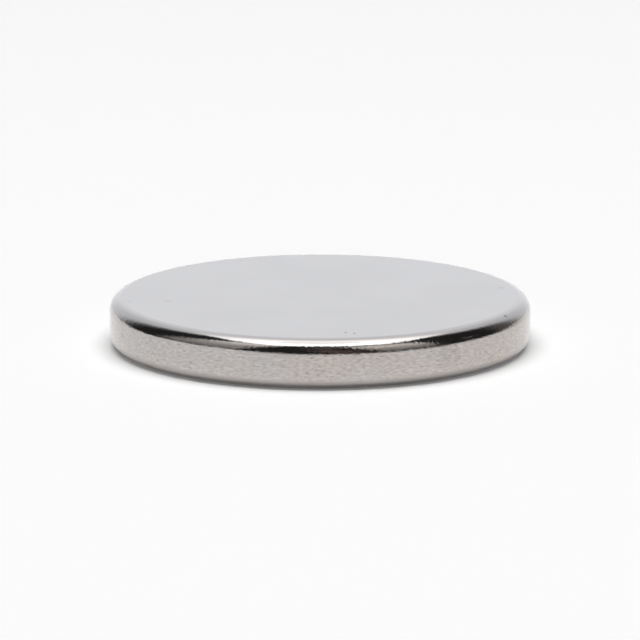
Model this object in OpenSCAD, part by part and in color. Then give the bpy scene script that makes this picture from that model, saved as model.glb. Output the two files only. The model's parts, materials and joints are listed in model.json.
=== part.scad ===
// Disc magnet: one sintered disc under a thin bright plating, with both rims rounded off by tumbling.
// It lies flat, with the centre of its lower face at the origin and +Z through its thickness.

/* [Disc] */
// Diameter over the side wall
disc_diameter = 25; // [10:0.5:60]
// Thickness from the lower face to the upper face
disc_thickness = 3; // [2:0.25:10]

/* [Edges] */
// Radius of the rounding between each flat face and the side wall
edge_radius = 0.85; // [0.1:0.05:0.9]

/* [Hidden] */

// Facets of a full turn, around the disc and around its rounded edge
disc_facets = 180;
edge_facets = 64;

disc_radius = disc_diameter / 2;
// The flat part of each face ends where the rounding starts
face_radius = disc_radius - edge_radius;
// The straight part of the side wall lies between the two roundings
wall_bottom = edge_radius;
wall_top = disc_thickness - edge_radius;

// Half of the disc's cross-section, drawn beside its axis
module disc_section() {
    // From face to face, out to where the roundings start
    square([face_radius, disc_thickness]);
    // From the axis out to the straight wall
    translate([0, wall_bottom])
        square([disc_radius, wall_top - wall_bottom]);
    // The two rounded rims
    for (rim_height = [wall_bottom, wall_top])
        translate([face_radius, rim_height])
            circle(r = edge_radius, $fn = edge_facets);
}

// The whole magnet is the section turned once around +Z
module disc_magnet() {
    color("silver")
        rotate_extrude($fn = disc_facets)
            disc_section();
}

disc_magnet();
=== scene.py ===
"""A disc magnet under bright nickel plating, lying in a small pale studio.

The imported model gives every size. The disc is turned again from its own section, finely enough to carry
the slight waviness of the plating, and takes the place of the model's plain solid.
"""

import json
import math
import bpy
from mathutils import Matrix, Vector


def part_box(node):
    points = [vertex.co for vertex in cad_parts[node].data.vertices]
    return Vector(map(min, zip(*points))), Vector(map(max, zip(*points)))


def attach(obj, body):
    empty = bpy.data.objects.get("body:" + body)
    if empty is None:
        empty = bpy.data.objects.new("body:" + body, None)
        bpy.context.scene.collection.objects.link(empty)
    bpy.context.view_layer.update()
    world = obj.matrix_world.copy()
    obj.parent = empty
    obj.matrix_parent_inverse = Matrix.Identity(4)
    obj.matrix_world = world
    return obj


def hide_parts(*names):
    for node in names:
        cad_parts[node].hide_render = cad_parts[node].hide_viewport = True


bl_info = {
    "name": "Disc Magnet",
    "version": (1, 0, 0),
    "blender": (4, 5, 0),
    "location": "3D View > Sidebar > Disc Magnet",
    "description": "Turns and plates a disc magnet, and lights it in a pale studio",
    "category": "Add Mesh",
}

import bpy
from mathutils import Vector

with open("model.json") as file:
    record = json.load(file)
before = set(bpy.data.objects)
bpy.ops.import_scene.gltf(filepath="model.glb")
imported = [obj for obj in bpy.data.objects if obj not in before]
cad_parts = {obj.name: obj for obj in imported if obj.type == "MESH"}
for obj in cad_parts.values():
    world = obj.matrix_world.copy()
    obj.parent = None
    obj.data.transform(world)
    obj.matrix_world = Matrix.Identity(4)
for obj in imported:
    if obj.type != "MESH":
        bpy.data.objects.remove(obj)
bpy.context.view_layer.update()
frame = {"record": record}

MM = 0.001
NODE = "disc_magnet"

# The disc's own sizes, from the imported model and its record
LOW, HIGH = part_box(NODE)
MOUNTS = {mount["name"]: mount for mount in frame["record"]["mounts"]}
DIAMETER = HIGH.x - LOW.x
THICKNESS = HIGH.z - LOW.z
WALL_HEIGHT = MOUNTS["rim"]["dims"]["length_mm"] * MM
EDGE_RADIUS = (THICKNESS - WALL_HEIGHT) / 2

# Small marks on the plating, all in mm. Strength is the share of full tarnish.
# On the upper side: x, y, width, strength
UPPER_MARKS = (
    (1.5, -10.2, 0.16, 0.9),
    (2.0, -10.4, 0.16, 0.9),
    (10.9, -5.2, 0.22, 0.6),
    (10.8, 2.1, 0.50, 0.12),
    (-11.3, -1.7, 0.45, 0.10),
    (-9.0, -1.6, 0.45, 0.12),
    (-5.9, 3.0, 0.35, 0.08),
    (-3.9, -6.5, 0.40, 0.08),
)
# On the side wall: degrees round from the front, height, width, strength
WALL_MARKS = (
    (40.7, 1.36, 0.30, 0.18),
    (37.0, 1.75, 1.80, 0.06),
)
# Dents in the lower rim: degrees round from the front, height, width, depth
RIM_DENTS = (
    (-46.0, 0.45, 0.55, 0.035),
    (-10.8, 0.30, 0.40, 0.025),
    (21.6, 0.40, 0.45, 0.030),
)

# The size of the normal's Z at which the finish of the rim sets in, just off the flat faces, and at which it
# is complete, low on the rounding
RIM_SETS_IN = 0.98
RIM_COMPLETE = 0.25

# Stops of an even level, for the panels of the studio
EVEN = ((0, 1), (1, 1))
CLOTH_BLACK = "#2A2A2A"
CARD_WHITE = "#FFFCF8"
# Height of the cloth that lies on the floor
FLOOR_CLOTH_HEIGHT = 0.2 * MM
# Small cards that the flat face mirrors when it is seen from behind or from the sides: name, degrees round
# from the front, colour
SMALL_CARDS = (
    ("card_front", 0, "#BAB7B4"),
    ("card_far_right", 90, "#A09D9A"),
    ("card_far_left", -90, "#B3B0AD"),
    ("card_near_left", -45, "#A09D9A"),
    ("card_near_right", 45, "#7C7A77"),
)


def linear(hex_colour):
    """Turns an sRGB hex colour into the linear red, green and blue that sockets hold."""
    channels = [int(hex_colour[i:i + 2], 16) / 255 for i in (1, 3, 5)]
    return [c / 12.92 if c <= 0.04045 else ((c + 0.055) / 1.055) ** 2.4 for c in channels]


def rgba(hex_colour):
    """The same colour with full opacity, for colour sockets."""
    return (*linear(hex_colour), 1.0)


def on_wall(degrees, height):
    """A point of the side wall, by its angle round from the front and its height in mm."""
    turn = math.radians(degrees)
    return Vector((math.sin(turn) * DIAMETER / 2, -math.cos(turn) * DIAMETER / 2, height * MM))


def placed_marks():
    """Where each mark lies on the plating, with its width and its strength."""
    face_radius = DIAMETER / 2 - EDGE_RADIUS
    for x, y, width, strength in UPPER_MARKS:
        past_face = max(0.0, math.hypot(x, y) * MM - face_radius)
        drop = EDGE_RADIUS - math.sqrt(EDGE_RADIUS ** 2 - past_face ** 2)
        yield Vector((x * MM, y * MM, THICKNESS - drop)), width * MM, strength
    for degrees, height, width, strength in WALL_MARKS:
        yield on_wall(degrees, height), width * MM, strength


def add_node(tree, kind, inputs=None, **settings):
    """Adds a node to a tree, sets its settings, and fills its sockets with values or links."""
    node = tree.nodes.new(kind)
    for name, value in settings.items():
        setattr(node, name, value)
    for key, value in (inputs or {}).items():
        if isinstance(value, bpy.types.NodeSocket):
            tree.links.new(value, node.inputs[key])
        else:
            node.inputs[key].default_value = value
    return node


def blank_material(name):
    """A material whose node tree is still empty."""
    material = bpy.data.materials.new(name)
    material.use_nodes = True
    material.node_tree.nodes.clear()
    return material


def facing_share(tree, normal):
    """How far a surface faces straight up or down: 1 on the flat faces and 0 on the straight wall."""
    parts = add_node(tree, "ShaderNodeSeparateXYZ", {0: normal})
    return add_node(tree, "ShaderNodeMath", {0: parts.outputs["Z"]}, operation="ABSOLUTE").outputs[0]


def rim_share(tree, facing):
    """0 on the flat faces, rising across the rounding, and 1 on its lower part and on the wall."""
    return add_node(tree, "ShaderNodeMapRange", {
        "Value": facing, "From Min": RIM_SETS_IN, "From Max": RIM_COMPLETE},
        interpolation_type="SMOOTHSTEP").outputs["Result"]


# ---------------------------------------------------------------------------------------------------------
# Settings
# ---------------------------------------------------------------------------------------------------------


class DiscSettings(bpy.types.PropertyGroup):
    """Sizes of the disc and how finely it is turned."""

    diameter: bpy.props.FloatProperty(
        name="Diameter", description="Across the side wall", default=DIAMETER, unit="LENGTH")
    thickness: bpy.props.FloatProperty(
        name="Thickness", description="From face to face", default=THICKNESS, unit="LENGTH")
    edge_radius: bpy.props.FloatProperty(
        name="Edge radius", description="Rounding of both rims", default=EDGE_RADIUS, unit="LENGTH")
    turn_segments: bpy.props.IntProperty(
        name="Turn segments", description="Facets of a full turn", default=960, min=48)
    edge_segments: bpy.props.IntProperty(
        name="Edge segments", description="Facets across one rounded rim", default=16, min=4)
    wall_rows: bpy.props.IntProperty(
        name="Wall rows", description="Rows of facets up the straight wall", default=16, min=1)
    face_rings: bpy.props.IntProperty(
        name="Face rings", description="Rings of facets on each flat face", default=16, min=2)


class PlatingSettings(bpy.types.PropertyGroup):
    """Colour and surface of the nickel plating."""

    nickel: bpy.props.StringProperty(
        name="Nickel", description="Colour of the plating as sRGB hex", default="#B9B5B3")
    nickel_warm: bpy.props.StringProperty(
        name="Warm nickel", description="Colour of faint warmer patches round the rim", default="#BBB4AF")
    nickel_dull: bpy.props.StringProperty(
        name="Dull nickel", description="Colour of faint duller patches on the faces", default="#B6B2B0")
    tarnish: bpy.props.StringProperty(
        name="Tarnish", description="Colour of the small specks where dirt sits in a pit", default="#37322E")
    ripple_width: bpy.props.FloatProperty(
        name="Ripple width", description="Distance between ripples of the plating round the rim",
        default=0.28 * MM, unit="LENGTH")
    ripple_height: bpy.props.FloatProperty(
        name="Ripple height", description="Greatest height of those ripples", default=0.018 * MM,
        unit="LENGTH")
    seed: bpy.props.IntProperty(name="Seed", description="Which ripple pattern is drawn", default=4)


class StudioSettings(bpy.types.PropertyGroup):
    """Camera, floor and lights."""

    camera_height: bpy.props.FloatProperty(
        name="Camera height", description="Angle of the camera above the floor",
        default=math.radians(12.4), subtype="ANGLE")
    camera_distance: bpy.props.FloatProperty(
        name="Camera distance", description="From the camera to the disc", default=0.5, unit="LENGTH")
    frame_share: bpy.props.FloatProperty(
        name="Share of the frame", description="How much of the picture's width the disc fills",
        default=0.657, subtype="FACTOR")
    softbox_height: bpy.props.FloatProperty(
        name="Softbox height", description="Height of the softbox above the floor",
        default=0.9, unit="LENGTH")
    softbox_glow: bpy.props.FloatProperty(
        name="Softbox glow", description="How bright the softbox looks in the metal, where 1 is white",
        default=2.6)
    light_level: bpy.props.FloatProperty(
        name="Light level", description="How bright a white floor is under the lamp", default=1.07)
    card_distance: bpy.props.FloatProperty(
        name="Card distance", description="From the disc to the reflector cards", default=0.7,
        unit="LENGTH")


class MagnetSettings(bpy.types.PropertyGroup):
    """All the settings of the scene."""

    disc: bpy.props.PointerProperty(type=DiscSettings)
    plating: bpy.props.PointerProperty(type=PlatingSettings)
    studio: bpy.props.PointerProperty(type=StudioSettings)


# ---------------------------------------------------------------------------------------------------------
# Materials
# ---------------------------------------------------------------------------------------------------------


def dirt_share(tree, place):
    """0 on clean plating, rising to a mark's strength where dirt sits in it, with a slightly ragged edge."""
    tooth_width = 0.06 * MM
    tooth_depth = 0.08 * MM
    ragged = add_node(tree, "ShaderNodeTexNoise", {"Vector": place, "Scale": 1 / tooth_width, "Detail": 1.0})
    jitter = add_node(tree, "ShaderNodeMapRange", {
        "Value": ragged.outputs["Fac"], "To Min": -tooth_depth, "To Max": tooth_depth})
    # The distances from a mark's centre, as shares of its width, where it is still full and where it is gone
    full = 0.3
    gone = 0.6
    dirt = 0.0
    for centre, width, strength in placed_marks():
        away = add_node(tree, "ShaderNodeVectorMath", {0: place, 1: centre}, operation="DISTANCE")
        away = add_node(tree, "ShaderNodeMath", {
            0: away.outputs["Value"], 1: jitter.outputs["Result"]}, operation="ADD")
        mark = add_node(tree, "ShaderNodeMapRange", {
            "Value": away.outputs[0], "From Min": width * gone, "From Max": width * full, "To Max": strength},
            interpolation_type="SMOOTHSTEP")
        dirt = add_node(tree, "ShaderNodeMath", {0: dirt, 1: mark.outputs["Result"]},
                        operation="MAXIMUM").outputs[0]
    return dirt


def nickel_tint(tree, place, rim, plating):
    """The nickel's colour, with faint patches: duller ones on the faces and warmer ones round the rim."""
    patch_width = 4.0 * MM
    patch = add_node(tree, "ShaderNodeTexNoise", {"Vector": place, "Scale": 1 / patch_width, "Detail": 1.0})
    patched = add_node(tree, "ShaderNodeMapRange", {
        "Value": patch.outputs["Fac"], "From Min": 0.35, "From Max": 0.7}, interpolation_type="SMOOTHSTEP")
    other = add_node(tree, "ShaderNodeMix", {
        "Factor": rim, "A": rgba(plating.nickel_dull), "B": rgba(plating.nickel_warm)}, data_type="RGBA")
    tint = add_node(tree, "ShaderNodeMix", {
        "Factor": patched.outputs["Result"], "A": rgba(plating.nickel), "B": other.outputs["Result"]},
        data_type="RGBA")
    return tint.outputs["Result"]


def nickel_plating(plating):
    """Electroplated nickel over a tumbled magnet.

    It mirrors its surroundings. The plating levels itself on the flat faces, and follows the grain of the
    pressed powder on the wall and rims, where fine ripples and pits break the reflections up.
    """
    material = blank_material("bright_nickel_plating")
    tree = material.node_tree
    coordinates = add_node(tree, "ShaderNodeTexCoord")
    place = coordinates.outputs["Object"]
    facing = facing_share(tree, coordinates.outputs["Normal"])
    rim = rim_share(tree, facing)
    # 0 on the upper half of the rounding, 1 on the straight wall
    wall = add_node(tree, "ShaderNodeMapRange", {"Value": facing, "From Min": 0.6, "From Max": 0.1},
                    interpolation_type="SMOOTHSTEP").outputs["Result"]

    # Grain of the pressed powder: level streaks a third of a millimetre long and a tenth tall. The plating is
    # lighter and darker along them, and rougher at the bottom of the deepest.
    streak_length = 0.31 * MM
    length_over_height = 3.4
    stretched = add_node(tree, "ShaderNodeVectorMath", {0: place, 1: (1, 1, length_over_height)},
                         operation="MULTIPLY")
    grain = add_node(tree, "ShaderNodeTexNoise", {
        "Vector": stretched.outputs[0], "Scale": 1 / streak_length, "Detail": 2.0, "Roughness": 0.5})
    streak = add_node(tree, "ShaderNodeMapRange", {
        "Value": grain.outputs["Fac"], "From Min": 0.2, "From Max": 0.8, "To Min": 0.76, "To Max": 1.24})
    deepest = add_node(tree, "ShaderNodeMapRange", {
        "Value": grain.outputs["Fac"], "From Min": 0.38, "From Max": 0.26}, interpolation_type="SMOOTHSTEP")
    pit = add_node(tree, "ShaderNodeMath", {0: deepest.outputs["Result"], 1: wall}, operation="MULTIPLY")

    # An orange-peel ripple, deepest on the rounding
    peel_length = 0.2 * MM
    peel = add_node(tree, "ShaderNodeTexNoise", {
        "Vector": place, "Scale": 1 / peel_length, "Detail": 2.0, "Roughness": 0.55})
    peel_share = add_node(tree, "ShaderNodeMapRange", {"Value": wall, "To Min": 1.0, "To Max": 0.2})
    peel_height = add_node(tree, "ShaderNodeMath", {
        0: peel.outputs["Fac"], 1: peel_share.outputs["Result"]}, operation="MULTIPLY")
    grain_share = add_node(tree, "ShaderNodeMath", {0: wall, 1: 0.3}, operation="MULTIPLY")
    height = add_node(tree, "ShaderNodeMath", {
        0: grain.outputs["Fac"], 1: grain_share.outputs[0], 2: peel_height.outputs[0]},
        operation="MULTIPLY_ADD")
    rim_height = add_node(tree, "ShaderNodeMath", {0: height.outputs[0], 1: rim}, operation="MULTIPLY")
    bump = add_node(tree, "ShaderNodeBump", {
        "Height": rim_height.outputs[0], "Strength": 1.0, "Distance": 0.02 * MM})

    tint = nickel_tint(tree, place, rim, plating)
    streaked = add_node(tree, "ShaderNodeMix", {"Factor": wall, "A": tint, "B": streak.outputs["Result"]},
                        data_type="RGBA", blend_type="MULTIPLY")
    dirt = dirt_share(tree, place)
    colour = add_node(tree, "ShaderNodeMix", {
        "Factor": dirt, "A": streaked.outputs["Result"], "B": rgba(plating.tarnish)}, data_type="RGBA")

    # The deepest streaks are a little rougher than the plating round them, and the dirt is matt
    plated = add_node(tree, "ShaderNodeMapRange", {"Value": pit.outputs[0], "To Min": 0.1, "To Max": 0.28})
    roughness = add_node(tree, "ShaderNodeMix", {
        "Factor": dirt, "A": plated.outputs["Result"], "B": 0.6}, data_type="FLOAT")

    shader = add_node(tree, "ShaderNodeBsdfPrincipled", {
        "Base Color": colour.outputs["Result"], "Metallic": 1.0, "Roughness": roughness.outputs["Result"],
        "Normal": bump.outputs["Normal"]})
    add_node(tree, "ShaderNodeOutputMaterial", {"Surface": shader.outputs["BSDF"]})
    return material


def seen_directly(tree):
    """1 for rays that come from the camera or from metal or glass, and 0 for rays that carry light."""
    path = add_node(tree, "ShaderNodeLightPath")
    seen = add_node(tree, "ShaderNodeMath", {
        0: path.outputs["Is Camera Ray"], 1: path.outputs["Is Glossy Ray"]}, operation="MAXIMUM")
    seen = add_node(tree, "ShaderNodeMath", {
        0: seen.outputs[0], 1: path.outputs["Is Transmission Ray"]}, operation="MAXIMUM")
    return seen.outputs[0]


def floor_paper(colour, lift, reach):
    """Matt white paper that keeps the disc's shadow, lifted a little so that the open floor is white.

    Beyond the lamp's light the lift grows, up to full white at the reach of the paper.
    """
    material = blank_material("floor_paper")
    tree = material.node_tree
    place = add_node(tree, "ShaderNodeTexCoord").outputs["Object"]
    away = add_node(tree, "ShaderNodeVectorMath", {0: place}, operation="LENGTH")
    lifted = add_node(tree, "ShaderNodeMapRange", {
        "Value": away.outputs["Value"], "From Min": reach * 0.3, "From Max": reach, "To Min": lift})
    glow = add_node(tree, "ShaderNodeMath", {0: seen_directly(tree), 1: lifted.outputs["Result"]},
                    operation="MULTIPLY")
    paper = add_node(tree, "ShaderNodeBsdfDiffuse", {"Color": rgba(colour)})
    light = add_node(tree, "ShaderNodeEmission", {"Color": rgba(colour), "Strength": glow.outputs[0]})
    both = add_node(tree, "ShaderNodeAddShader", {0: paper.outputs["BSDF"], 1: light.outputs["Emission"]})
    add_node(tree, "ShaderNodeOutputMaterial", {"Surface": both.outputs["Shader"]})
    return material


def backdrop_paper(colour, level):
    """White paper that is lit evenly, so it is the same white at every height."""
    material = blank_material("backdrop_paper")
    tree = material.node_tree
    glow = add_node(tree, "ShaderNodeMath", {0: seen_directly(tree), 1: level}, operation="MULTIPLY")
    light = add_node(tree, "ShaderNodeEmission", {"Color": rgba(colour), "Strength": glow.outputs[0]})
    add_node(tree, "ShaderNodeOutputMaterial", {"Surface": light.outputs["Emission"]})
    return material


def level_curve(tree, share, stops):
    """A level that follows straight lines between stops of (share of the way, level)."""
    curve = add_node(tree, "ShaderNodeFloatCurve", {"Value": share})
    highest = max(level for _, level in stops)
    points = curve.mapping.curves[0].points
    while len(points) < len(stops):
        points.new(0.5, 0.5)
    for point, (position, level) in zip(points, stops):
        point.location = (position, level / highest)
        point.handle_type = "VECTOR"
    curve.mapping.update()
    return add_node(tree, "ShaderNodeMath", {0: curve.outputs["Value"], 1: highest},
                    operation="MULTIPLY").outputs[0]


def panel_material(name, colour, across, up, kind):
    """The material of a studio panel: a diffuser, a card that adds light, or a dark cloth.

    The panel's UV map runs from 0 to 1 across it and up it. The stops of across and up give two levels. Their
    product is the brightness of a diffuser or card, or the share that a cloth hides of what is behind it.
    """
    material = blank_material(name)
    tree = material.node_tree
    place = add_node(tree, "ShaderNodeTexCoord").outputs["UV"]
    shares = add_node(tree, "ShaderNodeSeparateXYZ", {0: place})
    level = add_node(tree, "ShaderNodeMath", {
        0: level_curve(tree, shares.outputs["X"], across), 1: level_curve(tree, shares.outputs["Y"], up)},
        operation="MULTIPLY").outputs[0]
    clear = add_node(tree, "ShaderNodeBsdfTransparent").outputs["BSDF"]
    light = add_node(tree, "ShaderNodeEmission", {"Color": rgba(colour)})
    if kind == "CLOTH":
        surface = add_node(tree, "ShaderNodeMixShader", {0: level, 1: clear, 2: light.outputs["Emission"]})
    else:
        tree.links.new(level, light.inputs["Strength"])
        surface = light
        if kind == "CARD":
            surface = add_node(tree, "ShaderNodeAddShader", {0: clear, 1: light.outputs["Emission"]})
    add_node(tree, "ShaderNodeOutputMaterial", {"Surface": surface.outputs[0]})
    return material


# ---------------------------------------------------------------------------------------------------------
# The disc
# ---------------------------------------------------------------------------------------------------------


def disc_section(tree, given):
    """Half the disc's section: along the lower face, up the wall and back along the upper face."""
    # Far finer than the rows that are taken from it
    corner_steps = 96
    outer_low = add_node(tree, "ShaderNodeCombineXYZ", {"X": given["Radius"]})
    outer_high = add_node(tree, "ShaderNodeCombineXYZ", {"X": given["Radius"], "Z": given["Thickness"]})
    inner_high = add_node(tree, "ShaderNodeCombineXYZ", {"Z": given["Thickness"]})
    outline = add_node(tree, "GeometryNodeCurvePrimitiveQuadrilateral", {
        "Point 1": (0, 0, 0), "Point 2": outer_low.outputs[0], "Point 3": outer_high.outputs[0],
        "Point 4": inner_high.outputs[0]}, mode="POINTS")
    opened = add_node(tree, "GeometryNodeSetSplineCyclic", {
        "Geometry": outline.outputs["Curve"], "Cyclic": False})
    rounded = add_node(tree, "GeometryNodeFilletCurve", {
        "Curve": opened.outputs["Geometry"], "Count": corner_steps, "Radius": given["Edge radius"]},
        mode="POLY")
    return rounded.outputs["Curve"]


def section_stretches(tree, given):
    """The section's five stretches, each as its rows, the rows before it and its length, and all the rows."""
    face_length = add_node(tree, "ShaderNodeMath", {0: given["Radius"], 1: given["Edge radius"]},
                           operation="SUBTRACT").outputs[0]
    edge_length = add_node(tree, "ShaderNodeMath", {0: given["Edge radius"], 1: math.pi / 2},
                           operation="MULTIPLY").outputs[0]
    wall_length = add_node(tree, "ShaderNodeMath", {
        0: given["Edge radius"], 1: -2.0, 2: given["Thickness"]}, operation="MULTIPLY_ADD").outputs[0]
    stretches = []
    rows = 0.0
    for count, length in (
            ("Face rings", face_length), ("Edge segments", edge_length), ("Wall rows", wall_length),
            ("Edge segments", edge_length), ("Face rings", face_length)):
        stretches.append((given[count], rows, length))
        rows = add_node(tree, "ShaderNodeMath", {0: rows, 1: given[count]}, operation="ADD").outputs[0]
    return stretches, rows


def length_along(tree, row, stretches):
    """How far along the section a row lies. On each face the rows close up towards its rim."""
    along = 0.0
    for index, (count, before, length) in enumerate(stretches):
        done = add_node(tree, "ShaderNodeMath", {0: row, 1: before}, operation="SUBTRACT")
        share = add_node(tree, "ShaderNodeMath", {0: done.outputs[0], 1: count}, operation="DIVIDE",
                         use_clamp=True).outputs[0]
        if index == 0:
            left = add_node(tree, "ShaderNodeMath", {0: 1.0, 1: share}, operation="SUBTRACT")
            left = add_node(tree, "ShaderNodeMath", {0: left.outputs[0], 1: 2.0}, operation="POWER")
            share = add_node(tree, "ShaderNodeMath", {0: 1.0, 1: left.outputs[0]},
                             operation="SUBTRACT").outputs[0]
        if index == len(stretches) - 1:
            share = add_node(tree, "ShaderNodeMath", {0: share, 1: 2.0}, operation="POWER").outputs[0]
        along = add_node(tree, "ShaderNodeMath", {0: share, 1: length, 2: along},
                         operation="MULTIPLY_ADD").outputs[0]
    return along


def plating_relief(tree, given):
    """How each point moves along its normal: out and in with the plating's ripple, and in at the dents."""
    normal = add_node(tree, "GeometryNodeInputNormal").outputs[0]
    place = add_node(tree, "GeometryNodeInputPosition").outputs[0]
    facing = facing_share(tree, normal)

    # The ripple fades out across the rounding, so that both faces stay flat, and is shallower on the wall
    scale = add_node(tree, "ShaderNodeMath", {0: 1.0, 1: given["Ripple width"]}, operation="DIVIDE")
    ripple = add_node(tree, "ShaderNodeTexNoise", {
        "Vector": place, "W": given["Seed"], "Scale": scale.outputs[0], "Detail": 1.0, "Roughness": 0.5},
        noise_dimensions="4D")
    centred = add_node(tree, "ShaderNodeMath", {0: ripple.outputs["Fac"], 1: 0.5}, operation="SUBTRACT")
    swell = add_node(tree, "ShaderNodeMath", {0: centred.outputs[0], 1: given["Ripple height"]},
                     operation="MULTIPLY")
    swell = add_node(tree, "ShaderNodeMath", {0: swell.outputs[0], 1: rim_share(tree, facing)},
                     operation="MULTIPLY")
    wall_share = add_node(tree, "ShaderNodeMapRange", {
        "Value": facing, "From Min": 0.0, "From Max": 0.4, "To Min": 0.5, "To Max": 1.0})
    swell = add_node(tree, "ShaderNodeMath", {0: swell.outputs[0], 1: wall_share.outputs["Result"]},
                     operation="MULTIPLY")

    # Each dent is a shallow round hollow
    for degrees, dent_height, width, depth in RIM_DENTS:
        away = add_node(tree, "ShaderNodeVectorMath", {0: place, 1: on_wall(degrees, dent_height)},
                        operation="DISTANCE")
        hollow = add_node(tree, "ShaderNodeMapRange", {
            "Value": away.outputs["Value"], "From Min": width * MM / 2, "From Max": 0.0,
            "To Max": depth * MM}, interpolation_type="SMOOTHERSTEP")
        swell = add_node(tree, "ShaderNodeMath", {0: swell.outputs[0], 1: hollow.outputs["Result"]},
                         operation="SUBTRACT")
    moved = add_node(tree, "ShaderNodeVectorMath", {0: normal, "Scale": swell.outputs[0]}, operation="SCALE")
    return moved.outputs[0]


def turned_disc_tree():
    """Geometry nodes that turn a section with two rounded corners round Z, then ripple and dent its rim."""
    tree = bpy.data.node_groups.new("turned_disc", "GeometryNodeTree")
    tree.interface.new_socket("Geometry", in_out="OUTPUT", socket_type="NodeSocketGeometry")
    for name in ("Radius", "Thickness", "Edge radius", "Ripple width", "Ripple height"):
        tree.interface.new_socket(name, in_out="INPUT", socket_type="NodeSocketFloat")
    for name in ("Turn segments", "Edge segments", "Wall rows", "Face rings", "Seed"):
        tree.interface.new_socket(name, in_out="INPUT", socket_type="NodeSocketInt")
    tree.interface.new_socket("Plating", in_out="INPUT", socket_type="NodeSocketMaterial")
    given = add_node(tree, "NodeGroupInput").outputs
    stretches, rows = section_stretches(tree, given)

    # A sheet one unit square, whose columns go round the disc and whose rows go along the section
    columns = add_node(tree, "ShaderNodeMath", {0: given["Turn segments"], 1: 1.0}, operation="ADD")
    row_points = add_node(tree, "ShaderNodeMath", {0: rows, 1: 1.0}, operation="ADD")
    sheet = add_node(tree, "GeometryNodeMeshGrid", {
        "Size X": 1.0, "Size Y": 1.0, "Vertices X": columns.outputs[0], "Vertices Y": row_points.outputs[0]})
    where = add_node(tree, "GeometryNodeInputPosition")
    across = add_node(tree, "ShaderNodeSeparateXYZ", {0: where.outputs[0]})
    turn = add_node(tree, "ShaderNodeMath", {0: across.outputs["X"], 1: 2 * math.pi}, operation="MULTIPLY")
    row = add_node(tree, "ShaderNodeMath", {0: across.outputs["Y"], 1: 0.5}, operation="ADD")
    row = add_node(tree, "ShaderNodeMath", {0: row.outputs[0], 1: rows}, operation="MULTIPLY")

    # The sheet is wrapped round the disc, and its two sides and both poles are closed
    point = add_node(tree, "GeometryNodeSampleCurve", {
        "Curves": disc_section(tree, given), "Length": length_along(tree, row.outputs[0], stretches)},
        mode="LENGTH")
    turned = add_node(tree, "ShaderNodeVectorRotate", {
        "Vector": point.outputs["Position"], "Angle": turn.outputs[0]}, rotation_type="Z_AXIS")
    wrapped = add_node(tree, "GeometryNodeSetPosition", {
        "Geometry": sheet.outputs["Mesh"], "Position": turned.outputs["Vector"]})
    closed = add_node(tree, "GeometryNodeMergeByDistance", {
        "Geometry": wrapped.outputs["Geometry"], "Distance": 0.001 * MM})

    rippled = add_node(tree, "GeometryNodeSetPosition", {
        "Geometry": closed.outputs["Geometry"], "Offset": plating_relief(tree, given)})
    smooth = add_node(tree, "GeometryNodeSetShadeSmooth", {"Geometry": rippled.outputs["Geometry"]})
    solid = add_node(tree, "GeometryNodeRealizeInstances", {"Geometry": smooth.outputs["Geometry"]})
    plated = add_node(tree, "GeometryNodeSetMaterial", {
        "Geometry": solid.outputs["Geometry"], "Material": given["Plating"]})
    add_node(tree, "NodeGroupOutput", {"Geometry": plated.outputs["Geometry"]})
    return tree


def apply_tree(piece, tree, values):
    """Runs a geometry nodes tree with the named values, and keeps its result as the piece's plain mesh."""
    modifier = piece.modifiers.new(tree.name, "NODES")
    modifier.node_group = tree
    for item in tree.interface.items_tree:
        if item.in_out == "INPUT":
            modifier[item.identifier] = values[item.name]
    evaluated = piece.evaluated_get(bpy.context.evaluated_depsgraph_get())
    mesh = bpy.data.meshes.new_from_object(evaluated)
    piece.modifiers.remove(modifier)
    piece.data = mesh
    mesh.name = piece.name


class MAGNET_OT_plated_disc(bpy.types.Operator):
    """Turn the disc from its section, and plate it"""

    bl_idname = "magnet.plated_disc"
    bl_label = "Plated disc"

    def execute(self, context):
        settings = context.scene.disc_magnet
        disc = settings.disc
        plating = settings.plating
        piece = bpy.data.objects.new("plated_disc", bpy.data.meshes.new("plated_disc"))
        context.scene.collection.objects.link(piece)
        apply_tree(piece, turned_disc_tree(), {
            "Radius": disc.diameter / 2,
            "Thickness": disc.thickness,
            "Edge radius": disc.edge_radius,
            "Ripple width": plating.ripple_width,
            "Ripple height": plating.ripple_height,
            "Turn segments": disc.turn_segments,
            "Edge segments": disc.edge_segments,
            "Wall rows": disc.wall_rows,
            "Face rings": disc.face_rings,
            "Seed": plating.seed,
            "Plating": nickel_plating(plating),
        })
        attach(piece, "root")
        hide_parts(NODE)
        return {"FINISHED"}


# ---------------------------------------------------------------------------------------------------------
# The studio
# ---------------------------------------------------------------------------------------------------------


def add_stage_mesh(name, points, faces, material, shares=None):
    """A piece of the stage, which isn't part of the magnet, with a UV map where shares gives one."""
    mesh = bpy.data.meshes.new(name)
    mesh.from_pydata(points, [], faces)
    mesh.materials.append(material)
    if shares:
        uv_map = mesh.uv_layers.new(name="shares")
        for loop in mesh.loops:
            uv_map.data[loop.index].uv = shares[loop.vertex_index]
    mesh.shade_smooth()
    piece = bpy.data.objects.new(name, mesh)
    bpy.context.scene.collection.objects.link(piece)
    return piece


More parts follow.
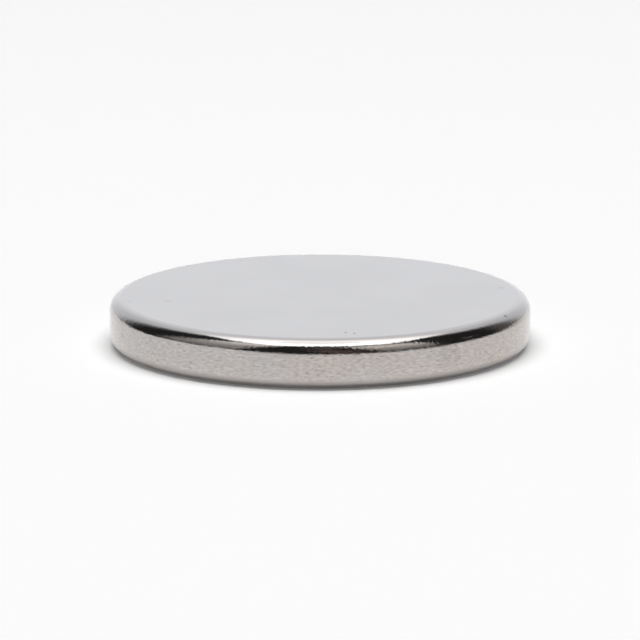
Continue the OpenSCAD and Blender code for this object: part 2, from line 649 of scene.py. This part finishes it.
def add_cyclorama():
    """White paper on the floor, and a round white wall that curves up from it."""
    radius = 1.0
    bend = 0.15
    top = 2.3
    arc_steps = 8
    turn_steps = 72
    floor_lift = 0.12
    backdrop_level = 1.10
    line = [(radius - bend, 0.0)]
    for step in range(1, arc_steps + 1):
        angle = math.pi / 2 * step / arc_steps
        line.append((radius - bend + bend * math.sin(angle), bend - bend * math.cos(angle)))
    line.append((radius, top))
    points = []
    for reach, z in line:
        for step in range(turn_steps):
            angle = 2 * math.pi * step / turn_steps
            points.append((reach * math.cos(angle), reach * math.sin(angle), z))
    faces = []
    for row in range(len(line) - 1):
        for step in range(turn_steps):
            here = row * turn_steps + step
            beside = row * turn_steps + (step + 1) % turn_steps
            faces.append((beside, here, here + turn_steps, beside + turn_steps))
    add_stage_mesh("floor", points[:turn_steps], [tuple(range(turn_steps))],
                   floor_paper("#F7F7F7", floor_lift, radius - bend))
    wall = add_stage_mesh("backdrop", points, faces, backdrop_paper("#F7FAFF", backdrop_level))
    wall.visible_diffuse = False


def mirrored_only(piece):
    """Hides a piece of the stage from everything but the metal that mirrors it."""
    piece.visible_camera = False
    piece.visible_diffuse = False
    piece.visible_shadow = False


def add_panel(name, colour, rows, across, up, kind="CARD"):
    """A panel, curved round the disc, that only the metal sees.

    Each row gives its distance from the disc's axis, its height, and its two ends in degrees round from the
    front. The panel's UV map runs along the rows, and evenly from the first row to the last.
    """
    columns = 48
    points = []
    shares = []
    for row, (reach, z, start, end) in enumerate(rows):
        for column in range(columns + 1):
            angle = math.radians(start + (end - start) * column / columns)
            points.append((reach * math.sin(angle), -reach * math.cos(angle), z))
            shares.append((column / columns, row / (len(rows) - 1)))
    faces = []
    for row in range(len(rows) - 1):
        for here in range(row * (columns + 1), row * (columns + 1) + columns):
            faces.append((here, here + 1, here + columns + 2, here + columns + 1))
    mirrored_only(add_stage_mesh(
        name, points, faces, panel_material(name, colour, across, up, kind), shares))


def upright(reach, rows):
    """The rows of an upright panel, each given by its height in degrees above the floor and its two ends."""
    return [(reach, reach * math.tan(math.radians(height)), start, end) for height, start, end in rows]


def level_rows(height, distances, start, end):
    """The rows of a panel that lies level, each given by its distance from the disc's axis."""
    return [(distance, height, start, end) for distance in distances]


def add_softbox(height, glow):
    """The diffuser overhead, which the metal mirrors: a rounded square, dimmer towards the back."""
    centre = 0.11
    half_depth = 0.61
    left = 0.48
    right = 0.53
    # The corners are rounder than a square's and squarer than a circle's, which would be 1
    corner = 0.57
    turn_steps = 96
    rings = 8
    points = [(0.0, centre, height)]
    shares = [(0.0, 0.5)]
    for ring in range(1, rings + 1):
        for step in range(turn_steps):
            angle = 2 * math.pi * step / turn_steps
            across = ring / rings * math.copysign(abs(math.cos(angle)) ** corner, math.cos(angle))
            along = ring / rings * math.copysign(abs(math.sin(angle)) ** corner, math.sin(angle))
            points.append(((right if across > 0 else left) * across, centre + half_depth * along, height))
            shares.append((abs(across), 0.5 + 0.5 * along))
    faces = [(0, 1 + step, 1 + (step + 1) % turn_steps) for step in range(turn_steps)]
    for ring in range(rings - 1):
        for step in range(turn_steps):
            here = 1 + ring * turn_steps + step
            beside = 1 + ring * turn_steps + (step + 1) % turn_steps
            faces.append((here, here + turn_steps, beside + turn_steps, beside))
    outwards = ((0, glow), (0.75, glow), (0.88, glow * 0.92), (1, glow * 0.6))
    backwards = ((0, 1), (0.3, 1), (0.38, 0.86), (0.46, 1), (0.5, 0.92), (0.58, 0.78), (0.72, 0.59),
                 (0.84, 0.435), (0.95, 0.4), (1, 0.4))
    name = "softbox_diffuser"
    mirrored_only(add_stage_mesh(
        name, points, faces, panel_material(name, "#FDFEFF", outwards, backwards, "DIFFUSER"), shares))


def add_lamp(height, level):
    """The light of the softbox on everything matt. The metal mirrors the diffuser instead of the lamp."""
    width = 1.06
    depth = 0.92
    # How far it hangs towards the front
    forwards = 0.06
    lamp = bpy.data.lights.new("soft_light", "AREA")
    lamp.shape = "ELLIPSE"
    lamp.size = width
    lamp.size_y = depth
    # The share of the light that falls on the floor below the lamp, for a lamp of this size and height
    share = 0.28
    radiance = level / share
    lamp.energy = radiance * math.pi * math.pi * width * depth / 4
    hung = bpy.data.objects.new("soft_light", lamp)
    hung.location = (0, -forwards, height)
    hung.visible_camera = False
    hung.visible_glossy = False
    bpy.context.scene.collection.objects.link(hung)


def hang_cloths(reach):
    """Dark cloth behind the cards and on the floor, which gives the rims their dark bands."""
    # Black cloth hangs round the front and the sides, and thins out towards the back
    thin_end = ((0, 0), (0.03, 0.14), (0.07, 0.235), (0.09, 0.4), (0.118, 0.87), (0.145, 1))
    other_end = tuple((1 - share, level) for share, level in reversed(thin_end))
    add_panel("black_cloth", CLOTH_BLACK, upright(reach + 0.1, (
        (0, -170, 168), (35, -165, 165), (68, -133, 105))), thin_end + other_end, EVEN, "CLOTH")
    add_panel("grey_cloth", "#6C6967", upright(reach + 0.05, ((0, 108, 142), (32, 108, 136))), (
        (0, 0), (0.3, 0.9), (0.6, 0.6), (0.8, 0.25), (1, 0)), ((0, 1), (0.7, 0.8), (1, 0)), "CLOTH")
    # It also lies on the floor, from about a centimetre outside the rim, and further off at the left
    add_panel("floor_cloth_right", CLOTH_BLACK, level_rows(
        FLOOR_CLOTH_HEIGHT, (0.024, 0.030, 0.045, 0.075, reach), -40, 128), (
        (0, 0), (0.18, 1), (0.88, 1), (1, 0)), ((0, 0), (0.25, 0.5), (0.5, 0.85), (0.75, 1), (1, 1)), "CLOTH")
    add_panel("floor_cloth_left", CLOTH_BLACK, level_rows(
        FLOOR_CLOTH_HEIGHT, (0.034, 0.054, reach), -126, -80), (
        (0, 0), (0.25, 1), (0.75, 1), (1, 0)), ((0, 0), (0.5, 1), (1, 1)), "CLOTH")


def set_cards(reach):
    """White, brown and dim cards in front of the cloth, which give the rims their lighter bands."""
    behind = reach + 0.02
    add_panel("card_left", CARD_WHITE, upright(reach, ((0, -101, -44), (57, -76, -24))), (
        (0, 0), (0.25, 1), (0.92, 1), (1, 0)), (
        (0, 0.15), (0.5, 0.62), (0.59, 0.8), (0.78, 1.05), (1, 1.15)))
    add_panel("card_right", CARD_WHITE, upright(reach, ((0, 69, 31), (56, 64, 10))), (
        (0, 0), (0.12, 1), (0.9, 1), (1, 0)), (
        (0, 0.12), (0.15, 0.33), (0.36, 0.62), (0.49, 0.82), (0.6, 0.92), (0.7, 0.85), (0.8, 0.45),
        (1, 0.35)))
    add_panel("card_brown", "#54413C", upright(reach, ((0, 25, 2), (24, 19, 2))), (
        (0, 0), (0.15, 1), (0.85, 1), (1, 0)), EVEN)
    add_panel("card_dim", "#6B6663", upright(behind, ((17, -14, 9), (52, -14, 14))), (
        (0, 0), (0.4, 0.45), (0.55, 0.7), (0.8, 1), (1, 0)), ((0, 0.3), (0.4, 0.5), (0.75, 1), (1, 0.9)))
    # The small cards, all in degrees
    low = 13
    high = 17.3
    half_width = 3.6
    for name, turn, colour in SMALL_CARDS:
        start = turn - half_width
        end = turn + half_width
        add_panel(name, colour, upright(behind, ((low, start, end), (high, start, end))), (
            (0, 0), (0.2, 1), (0.8, 1), (1, 0)), ((0, 0), (0.3, 1), (0.7, 1), (1, 0)))


def add_veil(height):
    """A thin veil under the middle of the softbox, so the flat face doesn't burn out when seen from above."""
    add_panel("softbox_veil", "#FFFFFF", level_rows(height, (0.001, 0.2), -180, 180), EVEN, (
        (0, 0.4), (0.85, 0.4), (1, 0)), "CLOTH")


def add_camera(scene, studio):
    """The camera, aimed at the middle of the disc."""
    target = Vector((0, 0, THICKNESS / 2))
    back = Vector((0, -math.cos(studio.camera_height), math.sin(studio.camera_height)))
    camera = bpy.data.objects.new("camera", bpy.data.cameras.new("camera"))
    camera.data.sensor_width = 36
    camera.data.lens = camera.data.sensor_width * studio.frame_share * studio.camera_distance / DIAMETER
    camera.data.clip_start = 0.01
    camera.data.clip_end = 20
    camera.location = target + back * studio.camera_distance
    camera.rotation_euler = (-back).to_track_quat("-Z", "Y").to_euler()
    scene.collection.objects.link(camera)
    scene.camera = camera


def dim_room(level):
    """A world that is evenly almost dark, so the light comes from the softbox."""
    world = bpy.data.worlds.new("dim_room")
    world.use_nodes = True
    world.node_tree.nodes["Background"].inputs["Color"].default_value = (level, level, level, 1)
    return world


class MAGNET_OT_studio(bpy.types.Operator):
    """Set the floor, the softbox, the cloths and cards, and the camera"""

    bl_idname = "magnet.studio"
    bl_label = "Pale studio"

    def execute(self, context):
        studio = context.scene.disc_magnet.studio
        room_level = 0.026
        # The lamp and the veil hang just under the diffuser
        lamp_gap = 0.01
        veil_gap = 0.02
        add_cyclorama()
        add_softbox(studio.softbox_height, studio.softbox_glow)
        add_lamp(studio.softbox_height - lamp_gap, studio.light_level)
        add_veil(studio.softbox_height - veil_gap)
        hang_cloths(studio.card_distance)
        set_cards(studio.card_distance)
        add_camera(context.scene, studio)
        context.scene.world = dim_room(room_level)
        context.scene.view_settings.view_transform = "Standard"
        return {"FINISHED"}


class MAGNET_PT_sidebar(bpy.types.Panel):
    """The sidebar tab that lists the pieces and their settings"""

    bl_label = "Disc Magnet"
    bl_space_type = "VIEW_3D"
    bl_region_type = "UI"
    bl_category = "Disc Magnet"

    def draw(self, context):
        settings = context.scene.disc_magnet
        for group in (settings.disc, settings.plating, settings.studio):
            box = self.layout.box()
            for name in group.__annotations__:
                box.prop(group, name)
        self.layout.operator(MAGNET_OT_plated_disc.bl_idname)
        self.layout.operator(MAGNET_OT_studio.bl_idname)


CLASSES = (
    DiscSettings,
    PlatingSettings,
    StudioSettings,
    MagnetSettings,
    MAGNET_OT_plated_disc,
    MAGNET_OT_studio,
    MAGNET_PT_sidebar,
)


def register():
    for cls in CLASSES:
        bpy.utils.register_class(cls)
    bpy.types.Scene.disc_magnet = bpy.props.PointerProperty(type=MagnetSettings)


def unregister():
    del bpy.types.Scene.disc_magnet
    for cls in reversed(CLASSES):
        bpy.utils.unregister_class(cls)


def main():
    register()
    bpy.ops.magnet.studio()
    bpy.ops.magnet.plated_disc()


if __name__ == "__main__":
    main()
